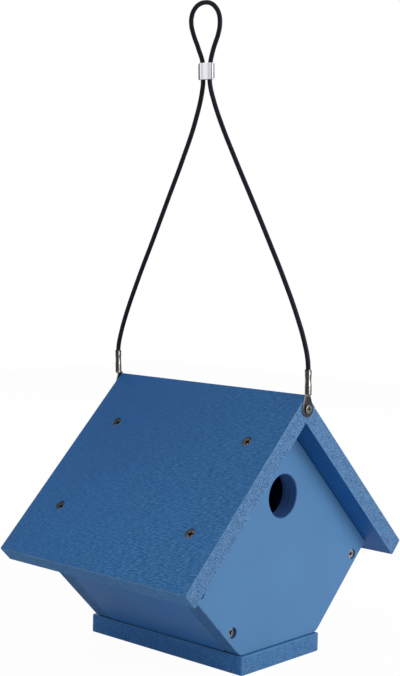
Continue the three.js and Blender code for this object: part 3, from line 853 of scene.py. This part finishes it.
def recess_depth(recess, x, y):
    """How deep the cross recess is at a place on the head: four tapered slots that meet."""
    half, width = recess["span"] / 2, recess["width"] / 2
    slots = [(abs(x) - half, abs(y) - width), (abs(x) - width, abs(y) - half)]
    outside = min(max(a, b) for a, b in slots)
    share = min(max(-outside / recess["wall"], 0), 1)
    reach = min(math.hypot(x, y) / half, 1)
    return recess["depth"] * share * (1 - RECESS_RISE * reach)


def head_face(work, radius, recess, top):
    """The outer face of a head, from its middle to the given radius, with the recess in it.
    top gives the face's height at a distance from the axis."""
    turn = 2 * math.pi / HEAD_SIDES
    rings = []
    for k in range(1, HEAD_RINGS + 1):
        r = radius * k / HEAD_RINGS
        points = []
        for i in range(HEAD_SIDES):
            x, y = r * math.cos(i * turn), r * math.sin(i * turn)
            points.append((x, y, top(r) - recess_depth(recess, x, y)))
        rings.append(add_ring(work, points))
    close_ring(work, rings[0], top(0) - recess_depth(recess, 0, 0))
    for inner, outer in zip(rings, rings[1:]):
        bridge(work, inner, outer)
    return rings[-1]


def thread_rings(work, length):
    """The shank: a plain neck, a thread that winds down and a tapered tip."""
    neck = add_ring(work, circle_points(SHANK_RADIUS, -SHANK_PLAIN_LENGTH, SHANK_SIDES))
    above = neck
    step = THREAD_PITCH / RINGS_PER_PITCH
    count = round((length - SHANK_PLAIN_LENGTH) / step) - 1
    turn = 2 * math.pi / SHANK_SIDES
    for k in range(1, count + 1):
        z = -SHANK_PLAIN_LENGTH - k * step
        left = length + z
        taper = min(left / TIP_LENGTH, 1)
        points = []
        for i in range(SHANK_SIDES):
            phase = (k / RINGS_PER_PITCH + i / SHANK_SIDES) % 1
            rise = max(1 - abs(phase - 0.5) / (THREAD_RIDGE_SHARE / 2), 0)
            r = (THREAD_ROOT_RADIUS + (THREAD_CREST_RADIUS - THREAD_ROOT_RADIUS) * rise) * taper
            points.append((r * math.cos(i * turn), r * math.sin(i * turn), z))
        ring = add_ring(work, points)
        bridge(work, above, ring)
        above = ring
    close_ring(work, above, -length)
    return neck


def join_rings(work, wide, narrow):
    """Faces between a ring and one with a quarter as many points."""
    times = len(wide) // len(narrow)
    for i in range(len(narrow)):
        j = (i + 1) % len(narrow)
        arc = [wide[(i * times + k) % len(wide)] for k in range(times + 1)]
        work.faces.new((*arc, narrow[j], narrow[i]))


def wood_screw(work):
    """A countersunk head with a short rim, a cone below it and the threaded shank."""
    edge = WOOD_HEAD_RADIUS - HEAD_ROUNDING
    rim = head_face(work, edge, WOOD_RECESS, lambda r: 0)
    profile = [
        (WOOD_HEAD_RADIUS, -HEAD_ROUNDING),
        (WOOD_HEAD_RADIUS, -WOOD_RIM_HEIGHT),
        (SHANK_RADIUS, -WOOD_HEAD_HEIGHT),
    ]
    for radius, z in profile:
        ring = add_ring(work, circle_points(radius, z, HEAD_SIDES))
        bridge(work, rim, ring)
        rim = ring
    join_rings(work, rim, thread_rings(work, WOOD_LENGTH))


def lug_screw_top(r):
    """The height of a lug screw's face at a distance from its axis."""
    flat = LUG_HEAD_RADIUS * LUG_DOME_FLAT
    crown = LUG_DOME_CROWN * min(r / flat, 1)
    past = min(max(r - flat, 0) / (LUG_HEAD_RADIUS - flat), 1)
    curve = 1 - math.sqrt(1 - past ** 2 * LUG_DOME_ROUNDNESS)
    return LUG_HEAD_HEIGHT - crown - LUG_HEAD_HEIGHT * LUG_DOME_FALL * curve


def lug_screw(work):
    """A low domed head that stands on its seat, and the threaded shank."""
    rim = head_face(work, LUG_HEAD_RADIUS, LUG_RECESS, lug_screw_top)
    for radius in (LUG_HEAD_RADIUS, SHANK_RADIUS):
        ring = add_ring(work, circle_points(radius, 0, HEAD_SIDES))
        bridge(work, rim, ring)
        rim = ring
    join_rings(work, rim, thread_rings(work, LUG_SCREW_LENGTH))


def screw_place(node, outward, seat):
    """A screw's frame from its CAD node: its head's seat, and +Z along the outward way."""
    outward = Vector(outward).normalized()
    points = [v.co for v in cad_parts[node].data.vertices]
    turn = outward.to_track_quat("Z", "Y").to_matrix()
    local = [turn.transposed() @ p for p in points]
    top = max(p.z for p in local)
    middle = [(min(p[i] for p in local) + max(p[i] for p in local)) / 2 for i in range(2)]
    place = turn @ Vector((*middle, top - seat * MM))
    return Matrix.Translation(place) @ turn.to_4x4()


def screw_outward(node):
    """The way a screw's head looks, from its node's name."""
    if node.startswith("roof_screw_left"):
        return (-1, 0, 1)
    if node.startswith("roof_screw_right"):
        return (1, 0, 1)
    if node.startswith("floor_screw"):
        return (0, 0, -1)
    return (0, -1, 0) if "front" in node else (0, 1, 0)


def add_screws():
    metals = {
        kind: screw_material(kind + "_screw_steel", **finish)
        for kind, finish in SCREW_FINISHES.items()
    }
    wood = (mesh_from("wood_screw", wood_screw), 0)
    lug = (mesh_from("lug_screw", lug_screw), LUG_HEAD_HEIGHT)
    for mesh, _ in (wood, lug):
        mesh.materials.append(metals["wall"])
    names = sorted(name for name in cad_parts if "_screw_" in name)
    for i, node in enumerate(names):
        mesh, seat = lug if node.startswith("lug") else wood
        piece = new_piece(node + "_detailed", mesh, "house", node)
        piece.material_slots[0].link = "OBJECT"
        piece.material_slots[0].material = metals.get(node.split("_")[0], metals["wall"])
        spin = Matrix.Rotation(math.radians(SCREW_TURNS.get(node, i * TURN_STEP)), 4, "Z")
        piece.matrix_world = screw_place(node, screw_outward(node), seat) @ spin


# Lugs

def lug_outline():
    """The plate's outline: a ring below and straight sides up to the neck."""
    reach = math.hypot(LUG_NECK_HALF_WIDTH, LUG_BARREL_START)
    touch = math.atan2(LUG_BARREL_START, LUG_NECK_HALF_WIDTH) - math.acos(LUG_RING_RADIUS / reach)
    start, stop = math.pi - touch, 2 * math.pi + touch
    arc = [start + (stop - start) * i / LUG_SIDES for i in range(LUG_SIDES + 1)]
    points = [(LUG_RING_RADIUS * math.cos(a), LUG_RING_RADIUS * math.sin(a)) for a in arc]
    neck = [(side * LUG_NECK_HALF_WIDTH, LUG_BARREL_START) for side in (1, -1)]
    return points + neck


def flat_plate(name, outlines, thickness, edge):
    """A flat plate with softened edges, from outlines of which the inner ones are holes."""
    curve = bpy.data.curves.new(name, "CURVE")
    curve.dimensions = "2D"
    curve.fill_mode = "BOTH"
    curve.extrude = (thickness / 2 - edge) * MM
    curve.bevel_depth = edge * MM
    curve.bevel_resolution = LUG_PLATE_EDGE_STEPS
    curve.offset = -edge * MM
    for outline in outlines:
        spline = curve.splines.new("POLY")
        spline.points.add(len(outline) - 1)
        for point, (x, y) in zip(spline.points, outline):
            point.co = (x * MM, y * MM, 0, 1)
        spline.use_cyclic_u = True
    holder = bpy.data.objects.new(name, curve)
    bpy.context.scene.collection.objects.link(holder)
    bpy.context.view_layer.update()
    shown = holder.evaluated_get(bpy.context.evaluated_depsgraph_get())
    mesh = bpy.data.meshes.new_from_object(shown)
    bpy.data.objects.remove(holder)
    bpy.data.curves.remove(curve)
    return mesh


def crimp(z):
    """How far the barrel is pressed in at a height above its foot."""
    away = abs(z - LUG_CRIMP_HEIGHT) / (LUG_CRIMP_LENGTH / 2)
    return LUG_CRIMP_DEPTH * max(1 - away ** LUG_CRIMP_SHARPNESS, 0)


def lug_section(share, out, z):
    """A ring of points between the plate's flat section, at 0, and the barrel's, at 1. The
    inner side leaves the plate's back only above the ridge."""
    points = []
    late = max(1 - (1 - share) / LUG_NECK_BEND_SHARE, 0)
    inner = (LUG_BARREL_RADIUS - out) * late
    outer = -LUG_PLATE_THICKNESS * (1 - share) - (LUG_BARREL_RADIUS + out) * share
    for i in range(LUG_SIDES):
        angle = 2 * math.pi * i / LUG_SIDES
        c, s = math.cos(angle), math.sin(angle)
        power = 2 / (2 + LUG_NECK_SQUARENESS * (1 - share))
        wide = LUG_NECK_HALF_WIDTH * (1 - share) + LUG_BARREL_RADIUS * share
        x = wide * math.copysign(abs(c) ** power, c)
        y = (inner - outer) / 2 * math.copysign(abs(s) ** power, s)
        points.append((x, y + (inner + outer) / 2, z))
    return points


def lug_builder(out):
    """From the flat neck the metal opens into a barrel, whose mouth is flared and hollow."""
    def build(work):
        rings = []
        for k in range(LUG_NECK_RINGS):
            share = k / (LUG_NECK_RINGS - 1)
            smooth = share * share * (3 - 2 * share)
            z = LUG_BARREL_START - LUG_NECK_LENGTH * (1 - share)
            rings.append(add_ring(work, lug_section(smooth, out, z)))
        body = LUG_BARREL_LENGTH - LUG_LIP_LENGTH
        steps = [body * k / LUG_BARREL_RINGS for k in range(1, LUG_BARREL_RINGS + 1)]
        profile = [(LUG_BARREL_RADIUS - crimp(z), LUG_BARREL_START + z) for z in steps]
        top = LUG_BARREL_START + LUG_BARREL_LENGTH
        profile += [
            (LUG_BARREL_RADIUS + LUG_LIP_REACH, top - LUG_LIP_LENGTH / 3),
            (LUG_BARREL_RADIUS + LUG_LIP_REACH / 2, top),
            (LUG_BORE_RADIUS, top - LUG_LIP_LENGTH / 6),
            (LUG_BORE_RADIUS, top - LUG_BORE_DEPTH),
        ]
        for radius, z in profile:
            rings.append(add_ring(work, circle_points(radius, z, LUG_SIDES, (0, -out))))
        for lower, upper in zip(rings, rings[1:]):
            bridge(work, lower, upper)
        work.faces.new(list(reversed(rings[0])))
        work.faces.new(rings[-1])
    return build


def lug_mesh(out):
    """A lug's own frame has the screw's axis along Y, its back at y = 0 and its barrel up."""
    hole = [(x, y) for x, y, _ in circle_points(LUG_HOLE_RADIUS, 0, LUG_SIDES)]
    plate = flat_plate("lug_plate", [lug_outline(), hole], LUG_PLATE_THICKNESS, LUG_PLATE_EDGE)
    plate.transform(Matrix.Rotation(math.pi / 2, 4, "X"))
    plate.transform(Matrix.Translation((0, -LUG_PLATE_THICKNESS / 2 * MM, 0)))
    work = bmesh.new()
    work.from_mesh(plate)
    work.from_mesh(mesh_from("lug_barrel", lug_builder(out)))
    mesh = bpy.data.meshes.new("cable_lug")
    work.to_mesh(mesh)
    work.free()
    for polygon in mesh.polygons:
        polygon.use_smooth = True
    return mesh


def add_lugs():
    pieces = []
    back = ROOF_HALF_LENGTH + LUG_GAP
    for end, y, angle, out in (
        ("front", -back, 0, LUG_FRONT_BARREL_OUT),
        ("back", back, math.pi, LUG_BARREL_RADIUS),
    ):
        node = "cable_lug_" + end
        piece = new_piece(node + "_detailed", lug_mesh(out), "hanger", node)
        set_material(piece, lug_material(node + "_nickel", out))
        place = Matrix.Translation((0, y * MM, 0)) @ Matrix.Rotation(angle, 4, "Z")
        piece.matrix_world = HANGER_PLACE @ place
        split = piece.modifiers.new("sharp_edges", "EDGE_SPLIT")
        split.split_angle = math.radians(LUG_SMOOTH_ANGLE)
        pieces.append(piece)
    return pieces


# Ferrule

def ferrule_ring(work, half_width, half_depth, z, press):
    """An oval ring, pressed in along two upright bands on both of its broad sides."""
    points = []
    for i in range(FERRULE_SIDES):
        angle = 2 * math.pi * i / FERRULE_SIDES
        y = half_width * math.sin(angle)
        x = half_depth * math.cos(angle)
        for place in FERRULE_PRESS_PLACES:
            near = 1 - ((y + math.copysign(place, x)) / (FERRULE_PRESS_WIDTH / 2)) ** 2
            if near > 0:
                x -= math.copysign(press * near * near, x)
        points.append((x, y, z))
    return add_ring(work, points)


def passage_ring(work, z):
    """The opening for both strands: two half circles and the straight sides between them."""
    points = []
    for i in range(FERRULE_SIDES):
        angle = 2 * math.pi * i / FERRULE_SIDES
        side = math.sin(angle)
        shift = math.copysign(FERRULE_STRAND_SPREAD / 2, side) if side else 0
        x = FERRULE_PASSAGE_RADIUS * math.cos(angle)
        y = FERRULE_PASSAGE_RADIUS * side + shift
        points.append((x, y, z))
    return add_ring(work, points)


def build_ferrule(work):
    """An oval sleeve about its own middle, with rounded ends."""
    top = FERRULE_HEIGHT / 2
    rings = [passage_ring(work, -top + FERRULE_EDGE / 2)]
    for k in range(FERRULE_RINGS + 1):
        z = FERRULE_HEIGHT * k / FERRULE_RINGS - top
        to_end = top - abs(z)
        short = max(FERRULE_EDGE - to_end, 0)
        inset = FERRULE_EDGE - math.sqrt(max(FERRULE_EDGE ** 2 - short ** 2, 0))
        press = FERRULE_PRESS_DEPTH * min(to_end / (2 * FERRULE_EDGE), 1)
        half_width = FERRULE_WIDTH / 2 - inset
        half_depth = FERRULE_DEPTH / 2 - inset
        rings.append(ferrule_ring(work, half_width, half_depth, z, press))
    rings.append(passage_ring(work, top - FERRULE_EDGE / 2))
    for lower, upper in zip(rings, rings[1:]):
        bridge(work, lower, upper)
    bridge(work, rings[-1], rings[0])


def add_ferrule():
    mesh = mesh_from("ferrule", build_ferrule, FERRULE_SMOOTH_ANGLE)
    piece = new_piece("ferrule_detailed", mesh, "hanger", "cable_ferrule")
    set_material(piece, ferrule_material())
    piece.matrix_world = HANGER_PLACE @ Matrix.Translation(Vector(FERRULE_CENTRE) * MM)
    return piece


# Cable

def add_cable():
    """The coated cable, as one curve from lug to lug."""
    curve = bpy.data.curves.new("hanger_cable_coated", "CURVE")
    curve.dimensions = "3D"
    curve.bevel_depth = CABLE_DIAMETER / 2 * MM
    curve.bevel_resolution = CABLE_SECTION_STEPS
    curve.resolution_u = CABLE_ROUTE_STEPS
    curve.use_fill_caps = True
    spline = curve.splines.new("BEZIER")
    spline.bezier_points.add(len(CABLE_ROUTE) - 1)
    for point, (y, height) in zip(spline.bezier_points, CABLE_ROUTE):
        point.co = HANGER_PLACE @ (Vector((0, y, height)) * MM)
        point.handle_left_type = "AUTO"
        point.handle_right_type = "AUTO"
    cable = bpy.data.objects.new("hanger_cable_coated", curve)
    bpy.context.scene.collection.objects.link(cable)
    curve.materials.append(cable_material())
    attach(cable, "hanger")
    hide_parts("hanger_cable")


# Camera, light and floor

def add_camera():
    data = bpy.data.cameras.new("photo_camera")
    data.lens = LENS
    data.sensor_width = SENSOR
    data.clip_start = CLIP_START * MM
    camera = bpy.data.objects.new("photo_camera", data)
    bpy.context.scene.collection.objects.link(camera)
    back = Vector((
        math.sin(AZIMUTH) * math.cos(ELEVATION),
        -math.cos(AZIMUTH) * math.cos(ELEVATION),
        math.sin(ELEVATION),
    ))
    right = Vector((math.cos(AZIMUTH), math.sin(AZIMUTH), 0))
    turn = Matrix((right, back.cross(right), back)).transposed().to_4x4()
    roll = Matrix.Rotation(ROLL, 4, "Z")
    camera.matrix_world = Matrix.Translation(Vector(EYE) * MM) @ turn @ roll
    bpy.context.scene.camera = camera


def background_share(graph):
    """1 for the rays that show the background: to the camera, in gloss and through glass."""
    path = graph.add("ShaderNodeLightPath").outputs
    seen = graph.math("MAXIMUM", path["Is Camera Ray"], path["Is Glossy Ray"])
    return graph.math("MAXIMUM", seen, path["Is Transmission Ray"])


def add_world():
    world = bpy.data.worlds.new("studio")
    bpy.context.scene.world = world
    graph = Graph(world)
    extra = graph.math("MULTIPLY", background_share(graph), 1 - AMBIENT_STRENGTH)
    strength = graph.math("ADD", AMBIENT_STRENGTH, extra)
    sky = graph.add("ShaderNodeBackground", None, Color=(*WHITE, 1), Strength=strength)
    graph.add("ShaderNodeOutputWorld", None, Surface=sky.outputs["Background"])


def add_floor():
    half = FLOOR_HALF_WIDTH * MM
    mesh = bpy.data.meshes.new("studio_floor")
    corners = [(-half, -half, 0), (half, -half, 0), (half, half, 0), (-half, half, 0)]
    mesh.from_pydata(corners, [], [(0, 1, 2, 3)])
    floor = bpy.data.objects.new("studio_floor", mesh)
    bpy.context.scene.collection.objects.link(floor)
    material, graph = material_graph("studio_paper")
    share = graph.math("MULTIPLY", background_share(graph), FLOOR_WHITE_SHARE)
    paper = graph.add("ShaderNodeBsdfDiffuse", None, Color=(*FLOOR_GREY, 1))
    glow = graph.add("ShaderNodeEmission", None, Color=(*WHITE, 1), Strength=1.0)
    mixed = graph.add("ShaderNodeMixShader")
    graph.tree.links.new(share, mixed.inputs[0])
    graph.tree.links.new(paper.outputs["BSDF"], mixed.inputs[1])
    graph.tree.links.new(glow.outputs["Emission"], mixed.inputs[2])
    graph.add("ShaderNodeOutputMaterial", None, Surface=mixed.outputs["Shader"])
    set_material(floor, material)


def add_lights():
    for spec in LIGHTS:
        data = bpy.data.lights.new(spec["name"], "AREA")
        data.shape = "RECTANGLE"
        data.size = spec["size"][0] * MM
        data.size_y = spec["size"][1] * MM
        data.energy = spec["power"]
        light = bpy.data.objects.new(spec["name"], data)
        bpy.context.scene.collection.objects.link(light)
        light.location = Vector(spec["at"]) * MM
        away = Vector(spec["at"]) - Vector(LIGHT_AIM)
        light.rotation_euler = away.to_track_quat("Z", "Y").to_euler()


def main():
    bpy.context.scene.view_settings.view_transform = "Standard"
    add_camera()
    lugs = add_lugs()
    ferrule = add_ferrule()
    add_cable()
    add_screws()
    dress_boards()
    add_world()
    add_floor()
    add_lights()


main()
